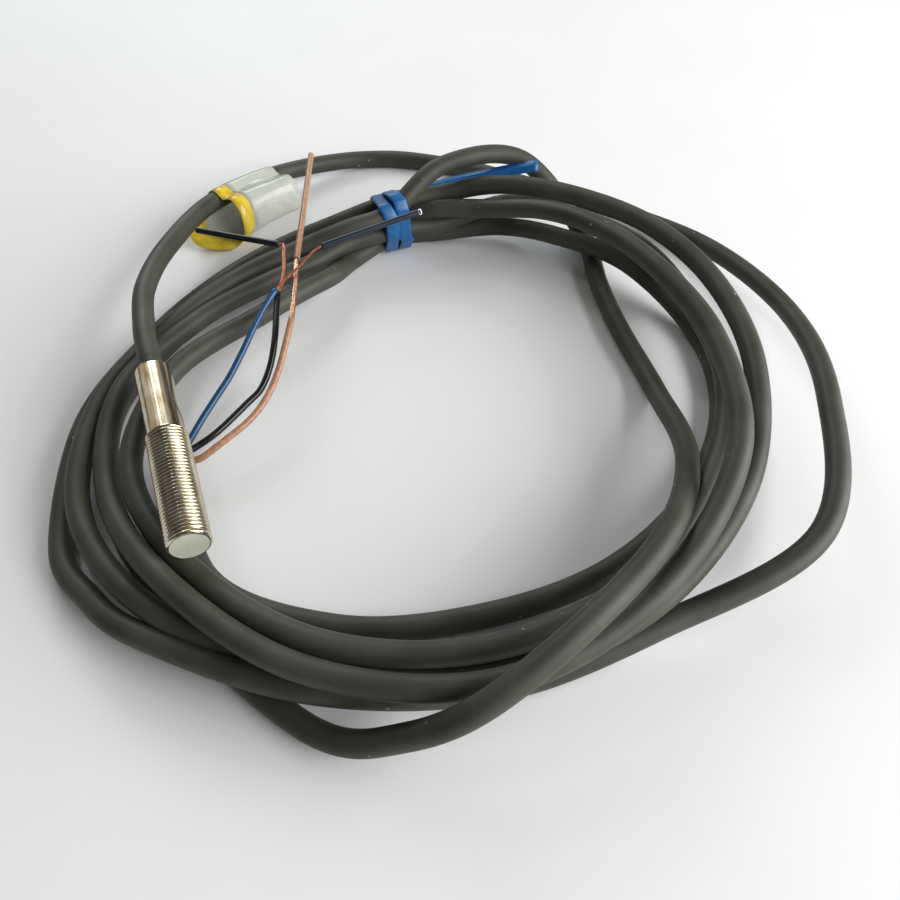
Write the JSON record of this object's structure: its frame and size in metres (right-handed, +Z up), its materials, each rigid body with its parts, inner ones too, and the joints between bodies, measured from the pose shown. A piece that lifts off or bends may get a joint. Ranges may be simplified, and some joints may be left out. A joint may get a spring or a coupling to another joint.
{
  "type": "inductive proximity sensor",
  "caption": "Small threaded barrel inductive proximity sensor with its thin cable in a loose tied coil, ending in stripped cores with loose insulation slugs.",
  "frame": {"origin": "on the sensor's axis, at the middle of its threaded part", "axes": "-Y looks out of the sensing face along the barrel, +Z points up from the surface the coil rests on, +X points from the sensor towards the coil's middle"},
  "size_m": [0.1068, 0.1081, 0.0154],
  "materials": {
    "barrel": "nickel plated, slightly warm",
    "sensing_face": "matt pale grey-green",
    "ferrite": "fine grained dark ceramic",
    "bobbin": "moulded",
    "winding_copper": "enamelled copper wire",
    "board": "solder mask",
    "chip_black": "moulded package",
    "chip_tan": "ceramic",
    "chip_dark": "ceramic",
    "solder": "bright solder",
    "resin": "cast resin",
    "bush_rubber": "soft",
    "cable_jacket": "matt charcoal jacket with a fine grain",
    "tie_blue": "bright blue coated",
    "label_clear": "clear glossy film with a yellow edge stripe",
    "brown_insulation": "satin",
    "black_insulation": "gloss",
    "blue_insulation": "gloss",
    "copper": "bare fine copper strands"
  },
  "bodies": {
    "sensor": {"barrel": "barrel", "sensing_face": "sensing_face", "ferrite_core": "ferrite", "coil_bobbin": "bobbin", "sensing_winding": "winding_copper", "winding_leads": "winding_copper", "circuit_board": "board", "oscillator_chip": "chip_black", "output_transistor": "chip_black", "chip_capacitors": "chip_tan", "chip_resistors": "chip_dark", "solder_joints": "solder", "brown_core_end": "brown_insulation", "black_core_end": "black_insulation", "blue_core_end": "blue_insulation", "resin_fill": "resin", "cable_bush": "bush_rubber", "cable_lead": "cable_jacket", "cable_coil": "cable_jacket", "cable_inner_loop": "cable_jacket", "cable_tail": "cable_jacket", "cable_tie": "tie_blue", "tie_tail": "tie_blue", "label_film": "label_clear", "brown_core": "brown_insulation", "black_core": "black_insulation", "blue_core": "blue_insulation", "brown_strands": "copper", "black_strands": "copper", "blue_strands": "copper"},
    "brown_slug": {"brown_slug": "brown_insulation"},
    "black_slug": {"black_slug": "black_insulation"},
    "blue_slug": {"blue_slug": "blue_insulation"}
  },
  "joints": [
    {"name": "brown_slug_slide", "type": "slide", "parent": "sensor", "child": "brown_slug", "axis": [0.3485, 0.9336, 0.083], "range_m": [0, 0.006]},
    {"name": "black_slug_slide", "type": "slide", "parent": "sensor", "child": "black_slug", "axis": [-0.8639, 0.4959, 0.088], "range_m": [0, 0.006]},
    {"name": "blue_slug_slide", "type": "slide", "parent": "sensor", "child": "blue_slug", "axis": [0.9948, 0.0581, 0.084], "range_m": [0, 0.006]}
  ]
}
